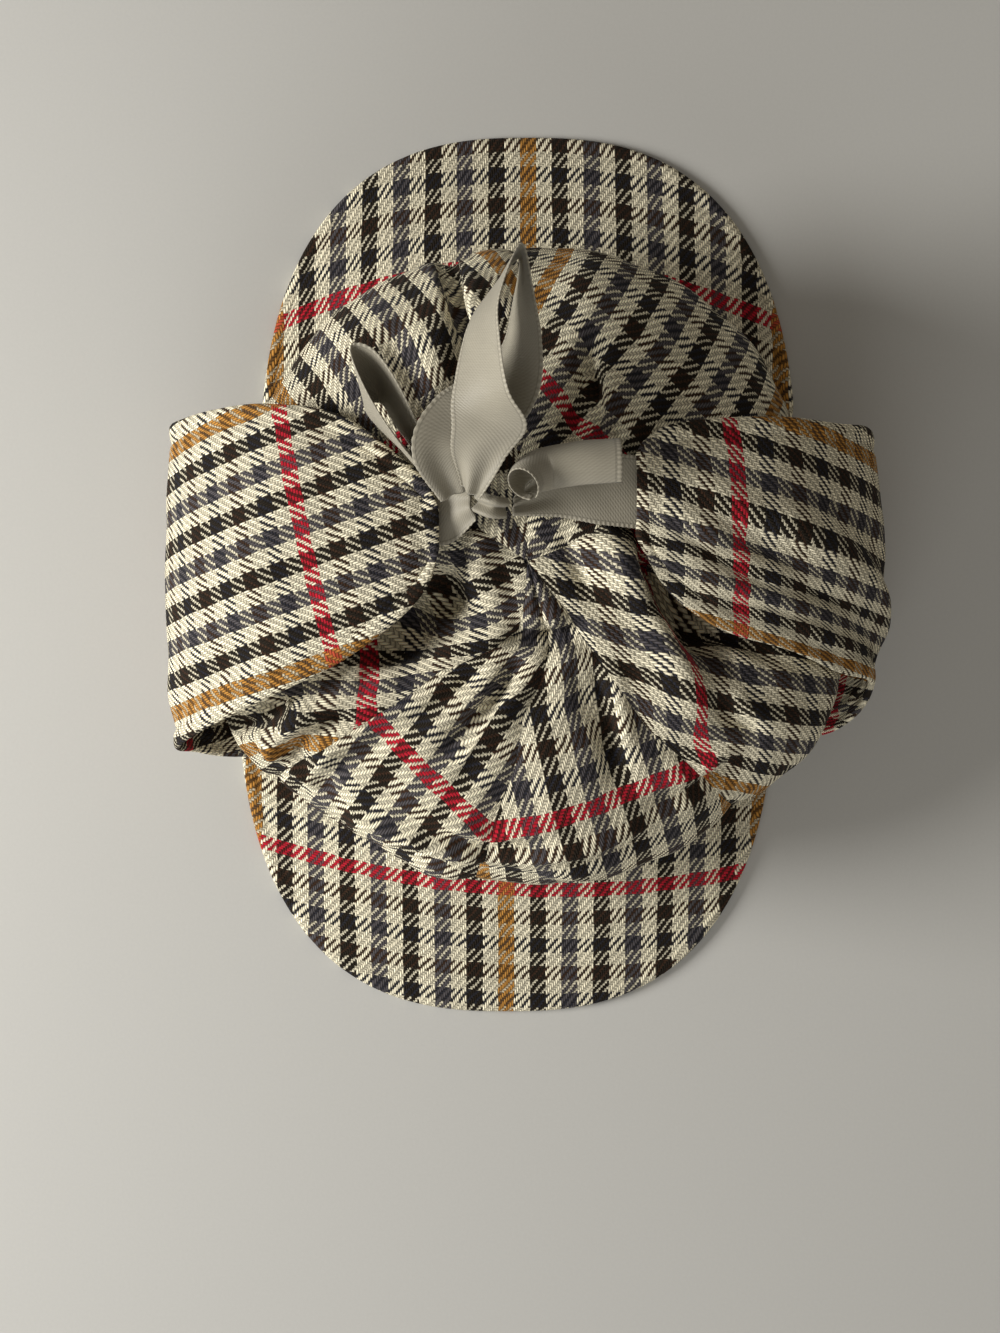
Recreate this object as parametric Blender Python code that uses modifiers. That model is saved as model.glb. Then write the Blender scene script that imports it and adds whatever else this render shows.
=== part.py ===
"""A deerstalker hat lying on a flat surface with its ear flaps tied up over the crown.

Metres, +Z up. The front peak points to -Y, the back peak to +Y, the ear flaps are at -X and +X.
The origin is on the surface that the hat rests on, in the middle of its length and width.
"""
import math

import bpy
from mathutils import Vector

MM = 0.001

# Driving dimensions
HAT_LENGTH = 320.0 * MM
HEAD_LENGTH = 200.0 * MM
HEAD_WIDTH = 170.0 * MM
CROWN_LENGTH = 221.0 * MM
CROWN_WIDTH = 212.0 * MM
CROWN_HEIGHT = 92.0 * MM
PEAK_WIDTH = 197.0 * MM
FLAP_STANDOFF = 18.5 * MM
HAT_WIDTH = CROWN_WIDTH + 2 * FLAP_STANDOFF
FLAP_WIDTH = 112.0 * MM
RIBBON_WIDTH = 23.0 * MM
BOW_LENGTH = 74.0 * MM

# Walls
CROWN_CLOTH = 2.2 * MM
FLAP_CLOTH = 3.0 * MM
PEAK_CLOTH = 3.0 * MM
RIBBON_CLOTH = 1.0 * MM

# Clearances and small details
SEAM_GAP = 0.7 * MM
PEAK_SEAT = 0.9 * MM
FRONT_PEAK_SHIFT = -6.5 * MM
BACK_PEAK_SHIFT = 1.5 * MM
APEX_HOLE = 1.6 * MM
RIM_RISE = 14.0 * MM
PANEL_PUFF = 3.0 * MM
HEM_HEIGHT = 5.0 * MM
PEAK_CORNER = 2.6
PEAK_START = 0.27
PEAK_END = 0.35
PEAK_END_SWEEP = 0.06
PANEL_ROWS = 14
PANEL_COLUMNS = 8
PEAK_CELLS = (30, 5)
FLAP_CELLS = (20, 9)

# Seams between the six crown panels, as directions from the apex in degrees
SEAM_DIRECTIONS = (260.0, 313.0, 383.0, 453.0, 510.0, 579.0)

# Share of a panel's rows that its upright hem takes below the table's first row
HEM_SHARE = 1.0 / (PANEL_ROWS - 1)

# Crown from the rim to the apex. along is the share of the way, swell the share of the step from the
# head opening to the widest part, out the share of that width, up the share of the crown's height.
# place, along, swell, out, up
CROWN_ROWS = (
    ("hem", 0.00, 0.00, 1.00, 0.00),
    ("low side", 0.13, 0.72, 1.00, 0.20),
    ("bulge", 0.27, 1.00, 1.00, 0.42),
    ("high side", 0.40, 1.00, 0.96, 0.63),
    ("shoulder", 0.55, 1.00, 0.82, 0.83),
    ("upper", 0.71, 1.00, 0.57, 0.94),
    ("top", 0.86, 1.00, 0.28, 0.985),
    ("apex", 1.00, 1.00, 0.00, 1.00),
)

# Folds and dents of the crown, in plan. x and y are shares of the crown's half width and half
# length, width is a share of the crown's width, depth of its height, and a negative depth is a ridge.
# place, from x, from y, to x, to y, width, depth
CROWN_FOLDS = (
    ("front tuck", -0.03, -0.20, 0.13, -0.22, 0.022, 0.055),
    ("left front hollow", -0.42, -0.22, -0.28, -0.14, 0.060, 0.060),
    ("right hollow", 0.36, -0.16, 0.62, -0.10, 0.050, 0.065),
    ("front left crease", -0.05, -0.32, -0.20, -0.60, 0.022, 0.030),
    ("front right crease", 0.16, -0.34, 0.28, -0.62, 0.022, 0.032),
    ("right ridge", 0.24, 0.05, 0.44, -0.42, 0.045, -0.040),
    ("back crease", 0.15, 0.38, 0.20, 0.62, 0.022, 0.045),
    ("back left fold", -0.22, 0.98, -0.20, 0.62, 0.020, 0.050),
    ("low front crease", -0.50, -0.88, 0.20, -1.00, 0.020, 0.040),
    ("low left crease", -0.85, -0.45, -0.55, -0.80, 0.022, 0.030),
)

# Ear flaps from the rim, out and up round the crown's side to the rounded end on top. out is a
# share of the hat's half width, up of the crown's height, front and back of the flap's half width.
# bow is how far the row follows the rim's curve, droop how far its two ends hang below its middle,
# as a share of the crown's height.
# place, along, out, up, front, back, bow, droop
LEFT_FLAP_ROWS = (
    ("rim", 0.00, 0.765, 0.055, -1.16, 0.94, 1.00, 0.00),
    ("low side", 0.13, 0.920, 0.150, -1.18, 0.93, 0.45, 0.00),
    ("outside", 0.25, 0.982, 0.290, -1.14, 0.91, 0.18, 0.00),
    ("bend", 0.36, 0.998, 0.440, -1.07, 0.89, 0.10, 0.00),
    ("turn", 0.47, 0.955, 0.600, -0.97, 0.89, 0.08, 0.02),
    ("upper side", 0.58, 0.850, 0.790, -0.84, 0.91, 0.04, 0.05),
    ("shoulder", 0.70, 0.690, 0.935, -0.67, 0.92, 0.00, 0.07),
    ("top", 0.82, 0.490, 1.010, -0.47, 0.84, 0.00, 0.07),
    ("inner", 0.92, 0.330, 1.035, -0.26, 0.59, 0.00, 0.03),
    ("corner", 0.97, 0.255, 1.034, -0.11, 0.43, 0.00, 0.005),
    ("end", 1.00, 0.228, 1.035, 0.06, 0.28, 0.00, 0.00),
)
RIGHT_FLAP_ROWS = (
    ("rim", 0.00, 0.765, 0.055, -1.06, 0.90, 1.00, 0.00),
    ("low side", 0.13, 0.915, 0.150, -1.05, 0.86, 0.50, 0.00),
    ("outside", 0.25, 0.980, 0.300, -0.92, 0.84, 0.40, 0.00),
    ("bend", 0.36, 0.994, 0.450, -0.74, 0.84, 0.42, 0.00),
    ("turn", 0.47, 0.955, 0.610, -0.68, 0.85, 0.36, 0.02),
    ("upper side", 0.58, 0.850, 0.795, -0.64, 0.83, 0.20, 0.05),
    ("shoulder", 0.70, 0.695, 0.940, -0.51, 0.84, 0.08, 0.07),
    ("top", 0.82, 0.505, 1.015, -0.39, 0.82, 0.00, 0.07),
    ("inner", 0.92, 0.365, 1.035, -0.18, 0.77, 0.00, 0.04),
    ("corner", 0.97, 0.300, 1.034, 0.04, 0.68, 0.00, 0.02),
    ("end", 1.00, 0.280, 1.037, 0.14, 0.60, 0.00, 0.00),
)

# Creases of the ear flaps. along runs from rim to end, across from front to back, both 0 to 1.
# width is a share of the flap's width, depth of the crown's height, and a negative depth is a ridge.
# place, from along, from across, to along, to across, width, depth
LEFT_FLAP_FOLDS = (
    ("front pocket", 0.30, 0.04, 0.62, 0.16, 0.07, 0.030),
    ("soft middle", 0.52, 0.50, 0.80, 0.46, 0.14, -0.016),
)
RIGHT_FLAP_FOLDS = (
    ("long crease", 0.40, 0.10, 0.78, 0.40, 0.06, 0.034),
    ("ridge beside it", 0.36, 0.26, 0.70, 0.56, 0.07, -0.034),
    ("short crease", 0.42, 0.42, 0.62, 0.62, 0.05, 0.022),
)

# Ribbon bands, as places from the knot in shares of the bow's length. turn and tilt aim the band's
# width, in degrees from +X in plan and above the surface. wide is a share of the ribbon's width.
# place, x, y, z, turn, tilt, wide
BACK_LOOP_ROWS = (
    ("knot", -0.072, -0.015, 0.027, -35.0, 5.0, 0.30),
    ("rise", -0.037, 0.135, 0.108, -9.0, 8.0, 0.72),
    ("broad", 0.009, 0.254, 0.176, -6.0, 10.0, 1.00),
    ("twist", -0.023, 0.393, 0.230, -12.0, 42.0, 1.00),
    ("steep", -0.019, 0.627, 0.243, -16.0, 63.0, 1.00),
    ("before tip", 0.022, 0.776, 0.216, -22.0, 76.0, 1.00),
    ("tip", 0.136, 0.971, 0.162, -26.0, 88.0, 0.92),
    ("after tip", 0.150, 0.815, 0.095, -14.0, 76.0, 1.00),
    ("back", 0.142, 0.604, 0.060, -8.0, 58.0, 1.00),
    ("back low", 0.066, 0.405, 0.070, -37.0, 22.0, 1.00),
    ("under", -0.105, 0.269, 0.075, -44.0, 4.0, 1.00),
    ("left", -0.185, 0.147, 0.078, 8.0, -8.0, 0.80),
    ("return", -0.135, -0.018, -0.020, 25.0, -6.0, 0.42),
)
LEFT_LOOP_ROWS = (
    ("knot", -0.200, 0.016, -0.062, 102.0, 86.0, 0.40),
    ("front", -0.350, 0.170, -0.008, 102.0, 86.0, 0.74),
    ("front end", -0.472, 0.325, -0.030, 102.0, 72.0, 0.92),
    ("bend", -0.545, 0.476, -0.040, 102.0, 44.0, 1.00),
    ("back end", -0.466, 0.486, -0.054, 96.0, 52.0, 1.00),
    ("back", -0.369, 0.345, -0.068, 80.0, 62.0, 0.90),
    ("return", -0.255, 0.146, -0.055, 75.0, 72.0, 0.50),
)
LEFT_BAND_ROWS = (
    ("knot", -0.065, -0.055, -0.085, 105.0, 8.0, 0.40),
    ("middle", -0.169, -0.080, -0.150, 102.0, 6.0, 0.80),
    ("under flap", -0.268, -0.080, -0.168, 98.0, 0.0, 0.95),
)
RIGHT_BAND_ROWS = (
    ("knot", 0.109, -0.054, -0.120, 84.0, 6.0, 0.26),
    ("middle", 0.311, 0.026, -0.148, 88.0, 3.0, 0.80),
    ("wide", 0.481, 0.022, -0.156, 90.0, 0.0, 0.97),
    ("under flap", 0.690, 0.005, -0.166, 90.0, 0.0, 1.00),
)
KNOT_ROWS = (
    ("left", -0.050, -0.040, -0.058, 80.0, 20.0, 0.26),
    ("middle", 0.020, -0.068, -0.010, 75.0, 30.0, 0.30),
    ("right", 0.085, -0.072, -0.040, 80.0, 20.0, 0.26),
)

# The right loop is a band curled across its width into a horn, whose narrow mouth faces up. curl is
# the angle that the width turns through, in degrees.
# place, x, y, z, curl
RIGHT_LOOP_ROWS = (
    ("mouth", 0.145, 0.026, 0.085, 345.0),
    ("throat", 0.171, 0.062, 0.040, 300.0),
    ("shoulder", 0.243, 0.091, -0.030, 235.0),
    ("middle", 0.389, 0.100, -0.044, 205.0),
    ("end", 0.558, 0.101, -0.047, 192.0),
)

# Place of the knot: x and y are shares of the crown's half width and length, z of its height
KNOT_PLACE = (-0.121, 0.191, 1.130)

CLOTH_COLOUR = (0.42, 0.36, 0.27)
CLOTH_DARK_COLOUR = (0.30, 0.26, 0.21)
RIBBON_COLOUR = (0.30, 0.285, 0.23)
CLOTH_ROUGHNESS = 0.95
RIBBON_ROUGHNESS = 0.60


def clear_scene():
    for item in list(bpy.data.objects):
        bpy.data.objects.remove(item, do_unlink=True)


def make_collection(name):
    collection = bpy.data.collections.new(name)
    bpy.context.scene.collection.children.link(collection)
    return collection


def make_material(name, colour, roughness):
    material = bpy.data.materials.new(name)
    material.use_nodes = True
    shader = material.node_tree.nodes["Principled BSDF"]
    shader.inputs["Base Color"].default_value = (*colour, 1.0)
    shader.inputs["Roughness"].default_value = roughness
    shader.inputs["Metallic"].default_value = 0.0
    return material


def blend_rows(rows, share):
    """Numbers of a table at a share of its length, on a smooth curve through its rows."""
    values = [row[1:] for row in rows]
    last = len(values) - 1
    index = 0
    while index < last - 1 and share > values[index + 1][0]:
        index += 1
    start, end = values[index], values[index + 1]
    before = values[max(index - 1, 0)]
    after = values[min(index + 2, last)]
    step = end[0] - start[0]
    t = (share - start[0]) / step
    result = []
    for column in range(len(start)):
        slope_in = (end[column] - before[column]) / (end[0] - before[0]) * step
        slope_out = (after[column] - start[column]) / (after[0] - start[0]) * step
        value = start[column] * (2 * t**3 - 3 * t**2 + 1) + slope_in * (t**3 - 2 * t**2 + t)
        value += end[column] * (3 * t**2 - 2 * t**3) + slope_out * (t**3 - t**2)
        result.append(value)
    return result


def even_rows(rows):
    """The same table with a share of its length added in front of each row's numbers."""
    last = len(rows) - 1
    return [(row[0], index / last, *row[1:]) for index, row in enumerate(rows)]


def smooth_step(low, high, value):
    t = min(max((value - low) / (high - low), 0.0), 1.0)
    return t * t * (3.0 - 2.0 * t)


def rim_rise(y):
    """Height of the crown's lower edge, which lifts off the surface at the front and the back."""
    return RIM_RISE * smooth_step(0.35, 1.0, abs(y) / (HEAD_LENGTH / 2))


def fold_depth(x, y, folds, width_scale, depth_scale):
    """Sum of the grooves of a fold table at a plan place given in the table's own shares."""
    depth = 0.0
    for _, x0, y0, x1, y1, width, deep in folds:
        run = Vector((x1 - x0, y1 - y0))
        along = max(0.0, min(1.0, ((x - x0) * run.x + (y - y0) * run.y) / run.length_squared))
        away = math.hypot(x - x0 - along * run.x, y - y0 - along * run.y)
        depth += deep * depth_scale * math.exp(-((away / (width * width_scale)) ** 2))
    return depth


def crown_point(direction, along, panel_share):
    """Outer face of the crown. panel_share runs from -1 to 1 between two seams."""
    if along <= 0.0:
        swell, out, up = 0.0, 1.0, 0.0
    else:
        _, swell, out, up = blend_rows(CROWN_ROWS, along)
    half_width = HEAD_WIDTH / 2 + swell * (CROWN_WIDTH - HEAD_WIDTH) / 2
    half_length = HEAD_LENGTH / 2 + swell * (CROWN_LENGTH - HEAD_LENGTH) / 2
    cosine = math.cos(direction)
    sine = math.sin(direction)
    rise = rim_rise(HEAD_LENGTH / 2 * sine)
    hem = HEM_HEIGHT * min(1.0, max(0.0, along + HEM_SHARE) / HEM_SHARE)
    z = rise + hem + (CROWN_HEIGHT - rise - HEM_HEIGHT) * up
    puff = PANEL_PUFF * (1.0 - panel_share**2) * math.sin(math.pi * max(along, 0.0)) ** 0.8
    x = half_width * out * cosine
    y = half_length * out * sine
    depth = fold_depth(2 * x / CROWN_WIDTH, 2 * y / CROWN_LENGTH, CROWN_FOLDS, 2.0, CROWN_HEIGHT)
    depth *= smooth_step(0.10, 0.35, along)
    outward = Vector((cosine * out, sine * out, 1.3 * up - 0.2)).normalized()
    return Vector((x, y, z)) + outward * (puff - depth - PANEL_PUFF * smooth_step(0.0, 0.3, along))


def add_sheet(name, cells, place, cloth, side, material, collection):
    """A sheet of cloth: a grid bent by place(share, share) and given a thickness.

    side is -1 where the cloth lies inside the bent grid and 0 where it lies on both sides of it.
    """
    bpy.ops.mesh.primitive_grid_add(x_subdivisions=cells[0], y_subdivisions=cells[1], size=2.0)
    sheet = bpy.context.object
    sheet.name = name
    sheet.data.name = name
    for vertex in sheet.data.vertices:
        vertex.co = place((vertex.co.x + 1) / 2, (vertex.co.y + 1) / 2)
    thick = sheet.modifiers.new("cloth", "SOLIDIFY")
    thick.thickness = cloth
    thick.offset = side
    sheet.data.materials.append(material)
    sheet.data.shade_smooth()
    sheet.data.set_sharp_from_angle(angle=math.radians(40))
    for other in list(sheet.users_collection):
        other.objects.unlink(sheet)
    collection.objects.link(sheet)
    return sheet


def add_crown_panel(number, start, end, material, collection):
    """One gore of the crown, from its upright hem to the apex, a gap short of its seams."""

    def place(across, up_share):
        along = up_share * (1.0 + HEM_SHARE) - HEM_SHARE
        along = min(along, 1.0)
        out = 1.0 if along <= 0.0 else blend_rows(CROWN_ROWS, along)[2]
        radius = max(out * CROWN_WIDTH / 2, APEX_HOLE)
        margin = math.asin(min(1.0, SEAM_GAP / 2 / radius))
        panel_share = 2.0 * across - 1.0
        direction = start + margin + (end - start - 2 * margin) * across
        point = crown_point(direction, along, panel_share)
        if math.hypot(point.x, point.y) < APEX_HOLE:
            point.x = APEX_HOLE * math.cos(direction)
            point.y = APEX_HOLE * math.sin(direction)
        return point

    name = f"crown_panel_{number}"
    cells = (PANEL_COLUMNS, PANEL_ROWS)
    return add_sheet(name, cells, place, CROWN_CLOTH, -1.0, material, collection)


def add_peak(name, facing, shift, material, collection):
    """A stiff peak. facing is -1 at the front and 1 at the back, shift moves its outer edge in X."""
    side_start = PEAK_START * HEAD_LENGTH / 2
    inner_half_width = HEAD_WIDTH / 2 + PEAK_SEAT
    inner_half_length = HEAD_LENGTH / 2 + PEAK_SEAT
    first = math.asin(side_start / inner_half_length)

    def place(sweep, outward):
        turn = first + (math.pi - 2 * first) * sweep
        inner = Vector((inner_half_width * math.cos(turn), inner_half_length * math.sin(turn)))
        lean = math.pi * sweep
        cosine = math.cos(lean)
        reach = HAT_LENGTH / 2 - side_start
        outer = Vector((
            shift + math.copysign(PEAK_WIDTH / 2 * abs(cosine) ** (2 / PEAK_CORNER), cosine),
            side_start + reach * max(math.sin(lean), 0.0) ** (2 / PEAK_CORNER),
        ))
        rounding = smooth_step(0.0, PEAK_END_SWEEP, min(sweep, 1.0 - sweep))
        plan = inner.lerp(outer, outward * (PEAK_END + (1.0 - PEAK_END) * rounding))
        z = rim_rise(inner.y) * (1.0 - outward) ** 1.2 + PEAK_CLOTH / 2
        return Vector((plan.x, plan.y * facing, z))

    return add_sheet(name, PEAK_CELLS, place, PEAK_CLOTH, 0.0, material, collection)


def add_ear_flap(name, rows, folds, side, material, collection):
    """An ear flap, from the rim round the crown's side to its end on top. side is -1 or 1."""

    def place(along, across):
        _, out, up, front, back, bow, droop = blend_rows(rows, along)
        y = (front + (back - front) * across) * FLAP_WIDTH / 2
        curve = 1.0 - math.sqrt(max(0.0, 1.0 - (2 * y / HEAD_LENGTH) ** 2))
        x = out * (HAT_WIDTH - FLAP_CLOTH) / 2 - bow * curve * HEAD_WIDTH / 2
        z = up * CROWN_HEIGHT + bow * rim_rise(y) - droop * CROWN_HEIGHT * (2 * across - 1) ** 2
        depth = fold_depth(along, across, folds, 1.0, CROWN_HEIGHT)
        outward = Vector((side * (1.0 - along), 0.0, 0.3 + along)).normalized()
        return Vector((side * x, y, z)) - outward * depth

    return add_sheet(name, FLAP_CELLS, place, FLAP_CLOTH, 0.0, material, collection)


def knot_place():
    return Vector((
        KNOT_PLACE[0] * CROWN_WIDTH / 2,
        KNOT_PLACE[1] * CROWN_LENGTH / 2,
        KNOT_PLACE[2] * CROWN_HEIGHT,
    ))


def add_band(name, rows, cells, material, collection):
    """A stretch of ribbon along the places of a table."""
    table = even_rows(rows)

    def place(along, across):
        _, x, y, z, turn, tilt, wide = blend_rows(table, along)
        turn = math.radians(turn)
        tilt = math.radians(tilt)
        flat = math.cos(tilt)
        aim = Vector((flat * math.cos(turn), flat * math.sin(turn), math.sin(tilt)))
        centre = knot_place() + Vector((x, y, z)) * BOW_LENGTH
        return centre + aim * (across - 0.5) * RIBBON_WIDTH * wide

    return add_sheet(name, (cells, 2), place, RIBBON_CLOTH, 0.0, material, collection)


def add_curled_band(name, rows, cells, material, collection):
    """A stretch of ribbon that is curled across its width into an open roll."""
    table = even_rows(rows)

    def centre(along):
        return Vector(blend_rows(table, along)[1:4]) * BOW_LENGTH

    def place(along, across):
        curl = math.radians(blend_rows(table, along)[4])
        radius = RIBBON_WIDTH / curl
        angle = math.radians(-80.0) - (curl - math.pi) / 2 + curl * across
        axis = (centre(min(along + 0.02, 1.0)) - centre(max(along - 0.02, 0.0))).normalized()
        level = Vector((0.0, 0.0, 1.0)).cross(axis).normalized()
        upward = axis.cross(level)
        ring = (level * math.cos(angle) + upward * math.sin(angle)) * radius
        return knot_place() + centre(along) + ring

    return add_sheet(name, (cells, 12), place, RIBBON_CLOTH, 0.0, material, collection)


def build_hat():
    clear_scene()
    collection = make_collection("deerstalker_hat")
    cloth = make_material("tweed", CLOTH_COLOUR, CLOTH_ROUGHNESS)
    shaded = make_material("tweed_peak", CLOTH_DARK_COLOUR, CLOTH_ROUGHNESS)
    ribbon = make_material("ribbon", RIBBON_COLOUR, RIBBON_ROUGHNESS)
    seams = [math.radians(value) for value in SEAM_DIRECTIONS]
    seams.append(seams[0] + 2 * math.pi)
    for number in range(6):
        add_crown_panel(number + 1, seams[number], seams[number + 1], cloth, collection)
    add_peak("front_peak", -1.0, FRONT_PEAK_SHIFT, shaded, collection)
    add_peak("back_peak", 1.0, BACK_PEAK_SHIFT, shaded, collection)
    add_ear_flap("left_ear_flap", LEFT_FLAP_ROWS, LEFT_FLAP_FOLDS, -1.0, cloth, collection)
    add_ear_flap("right_ear_flap", RIGHT_FLAP_ROWS, RIGHT_FLAP_FOLDS, 1.0, cloth, collection)
    add_band("bow_back_loop", BACK_LOOP_ROWS, 30, ribbon, collection)
    add_band("bow_left_loop", LEFT_LOOP_ROWS, 16, ribbon, collection)
    add_curled_band("bow_right_loop", RIGHT_LOOP_ROWS, 12, ribbon, collection)
    add_band("bow_knot", KNOT_ROWS, 6, ribbon, collection)
    add_band("left_ribbon", LEFT_BAND_ROWS, 5, ribbon, collection)
    add_band("right_ribbon", RIGHT_BAND_ROWS, 6, ribbon, collection)


build_hat()
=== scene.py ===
"""A tweed deerstalker hat that lies on a plain surface, its ear flaps tied up by a ribbon bow.

The scene is in metres with +Z up, and the front peak points to -Y. Lengths below are in millimetres unless
a comment says otherwise. Small folds are placed by pixels of the photo, which looks straight down.
"""
import math

import bpy
import numpy as np
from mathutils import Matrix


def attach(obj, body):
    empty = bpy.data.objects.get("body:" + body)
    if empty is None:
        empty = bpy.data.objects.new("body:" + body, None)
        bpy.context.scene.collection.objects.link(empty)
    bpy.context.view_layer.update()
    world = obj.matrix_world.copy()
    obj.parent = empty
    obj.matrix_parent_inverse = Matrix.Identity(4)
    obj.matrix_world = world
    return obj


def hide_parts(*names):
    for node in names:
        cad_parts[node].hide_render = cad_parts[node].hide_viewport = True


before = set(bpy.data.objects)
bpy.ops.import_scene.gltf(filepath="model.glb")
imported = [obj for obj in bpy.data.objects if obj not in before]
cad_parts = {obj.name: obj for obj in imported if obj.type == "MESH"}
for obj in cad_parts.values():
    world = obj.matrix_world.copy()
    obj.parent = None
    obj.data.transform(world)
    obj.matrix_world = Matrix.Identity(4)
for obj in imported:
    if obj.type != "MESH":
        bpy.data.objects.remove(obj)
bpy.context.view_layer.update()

MM = 0.001

# Sizes of the hat
HAT_LENGTH = 320.0
HEAD_LENGTH = 200.0
HEAD_WIDTH = 170.0
CROWN_LENGTH = 221.0
CROWN_WIDTH = 212.0
CROWN_HEIGHT = 92.0
PEAK_WIDTH = 197.0
HAT_WIDTH = 249.0
FLAP_WIDTH = 112.0
RIBBON_WIDTH = 23.0
BOW_LENGTH = 74.0
LOOP_WRAP = 31.0
LOOP_RISE = 1.6
LOOP_POINT = 0.42
LOOP_PULL = 0.3
LOOP_TURN = -62.0
SMALL_STEP = 0.02
CROWN_CLOTH = 2.0
FLAP_CLOTH = 2.6
PEAK_CLOTH = 2.8
RIBBON_CLOTH = 0.5
PICOT_PITCH = 1.5
PICOT_DEPTH = 0.35
PICOT_SHARE = 0.012
PLEAT_DEPTH = 1.5
PLEAT_PHASE = 0.6
RIPPLE_HEIGHT = 0.08
RIPPLE_SIZE = 16.0
RIB_PITCH = 0.8
TWILL_PITCH = 1.15
FLAP_WALL = 3.0
SEAM_GAP = 0.1
SEAM_DIP = 0.3
SEAM_DIP_WIDTH = 1.8
PEAK_SEAT = 0.9
FRONT_PEAK_SHIFT = -6.5
BACK_PEAK_SHIFT = 1.5
APEX_HOLE = 0.9
RIM_RISE = 14.0
PANEL_PUFF = 3.0
HEM_HEIGHT = 5.0
HEM_SHARE = 1.0 / 13.0
PEAK_CORNER = 2.6
PEAK_START = 0.27
PEAK_END = 0.35
PEAK_END_SWEEP = 0.06

# Seams between the crown panels: directions in degrees at distances from the apex, in plan
SEAM_ROUTES = (
    ((0.0, 286.0), (27.0, 286.0), (36.0, 277.0), (47.0, 269.0), (86.0, 262.5), (110.0, 260.0)),
    ((0.0, 312.0), (18.0, 309.0), (30.0, 306.5), (65.0, 307.0), (110.0, 313.0)),
    ((0.0, 380.0), (40.0, 386.0), (80.0, 381.0), (110.0, 383.0)),
    ((0.0, 450.0), (40.0, 456.0), (80.0, 451.0), (110.0, 453.0)),
    ((0.0, 508.0), (40.0, 512.0), (80.0, 509.0), (110.0, 510.0)),
    ((0.0, 622.0), (22.0, 622.0), (34.0, 601.0), (45.0, 590.0), (60.0, 586.0), (100.0, 579.0)),
)

# How much fuller the crown's side is than its profile, as shares of its height and of its width.
# place, direction, spread of directions, along, spread along, up, out
FULL_PLACES = (
    ("left front", 211.0, 13.0, 0.33, 0.17, 0.1, 0.095),
    ("left shoulder", 212.0, 20.0, 0.52, 0.12, 0.06, 0.02),
    ("right front", 333.0, 15.0, 0.33, 0.17, 0.11, 0.085),
    ("right shoulder", 328.0, 16.0, 0.52, 0.12, 0.04, 0.02),
    ("front", 268.0, 26.0, 0.45, 0.15, 0.05, 0.01),
)
KNOT_PLACE = np.array([-0.121 * CROWN_WIDTH / 2, 0.191 * CROWN_LENGTH / 2, 1.13 * CROWN_HEIGHT])
CROWN_MIDDLE = np.array([0.0, 0.0, 20.0])

# The camera looks straight down from this place. Its picture is 1333 pixels high and 1000 wide.
CAMERA_PLACE = (-8.8, -33.7, 680.0)
CAMERA_LENS = 50.0
CAMERA_SENSOR = 36.0
PHOTO_SCALE = 0.3666
PHOTO_MIDDLE = (500.0, 666.5)

# Soft light from the left and a weak fill from the front, in metres and watts
# name, place, size, power, colour
LIGHTS = (
    ("window_side", (-1.0, -0.04, 0.53), 0.5, 14.2, (1.0, 0.985, 0.96)),
    ("low_fill", (-0.2, -1.2, 0.6), 0.9, 5.0, (0.98, 0.99, 1.0)),
)
ROOM_COLOUR = (1.0, 0.93, 0.83, 1.0)
ROOM_LIGHT = 0.22
FLOOR_REACH = 3.0

# Lengths cut into mesh cells, the cells, and the rounded edges
CROWN_PANEL_WIDTH = 108.0
CROWN_PANEL_LENGTH = 165.0
FLAP_LENGTH = 165.0
PEAK_EDGE_LENGTH = 410.0
PEAK_REACH = 62.0
CROWN_CELL = 1.35
FLAP_CELL = 1.3
PEAK_CELL = 1.4
RIBBON_CELL = 0.55
RIBBON_EDGE_CELL = 1.1
RIBBON_LEAST_CELLS = 12
CROWN_EDGE = 1.5
FLAP_EDGE = 2.0
PEAK_EDGE = 2.2
RIBBON_EDGE = 0.8

# Soft waves of the cloth
# waves, height, size, step of the random seed
CROWN_SWELLS = (("broad", 0.9, 46.0, 0), ("small", 0.42, 19.0, 20))
PEAK_SWELLS = (("broad", 0.3, 60.0, 0), ("small", 0.1, 17.0, 1))
FLAP_SWELLS = (("broad", 0.4, 50.0, 0), ("small", 0.14, 16.0, 1))
CROWN_SWELL_SEED = 20
PEAK_SWELL_SEED = 7
PEAK_LIFT = 0.6

# Roll and stitched groove along the edges
# line, height, distance from the edge, width
PEAK_HEM = (("roll", 0.35, 2.2, 1.6), ("groove", -0.3, 6.2, 1.5))
FLAP_HEM = (("roll", 0.4, 3.0, 2.2), ("groove", -0.5, 7.0, 1.4))

# Where folds and creases begin up the crown and end near the apex, and how far from a seam swells begin
FOLD_START = (0.1, 0.35)
CREASE_START = (0.06, 0.22)
APEX_FLAT = (4.0, 16.0)
SEAM_AIM = 5.0
SWELL_START = 9.0

# Puckers along the crown's seams, and the waver of a seam's own route
PUCKER_HEIGHT = 0.35
PUCKER_PITCH = 8.5
PUCKER_REACH = 7.0
PUCKER_START = 1.5
PUCKER_WAVER = 30.0
SEAM_WAVER = 0.55
SEAM_WAVER_SIZE = 34.0
SEAM_WAVER_SEED = 90

# Rounding of a sheet's edges, as a share of its thickness
SEWN_ROUNDING = 0.3
FREE_ROUNDING = 0.75

# place, along, swell, out, up
CROWN_ROWS = (
    ("hem", 0.0, 0.0, 1.0, 0.0),
    ("low side", 0.13, 0.72, 1.0, 0.2),
    ("bulge", 0.27, 1.0, 1.0, 0.42),
    ("high side", 0.4, 1.0, 0.96, 0.63),
    ("shoulder", 0.55, 1.0, 0.82, 0.83),
    ("upper", 0.71, 1.0, 0.57, 0.94),
    ("top", 0.86, 1.0, 0.28, 0.985),
    ("apex", 1.0, 1.0, 0.0, 1.0),
)

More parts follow.
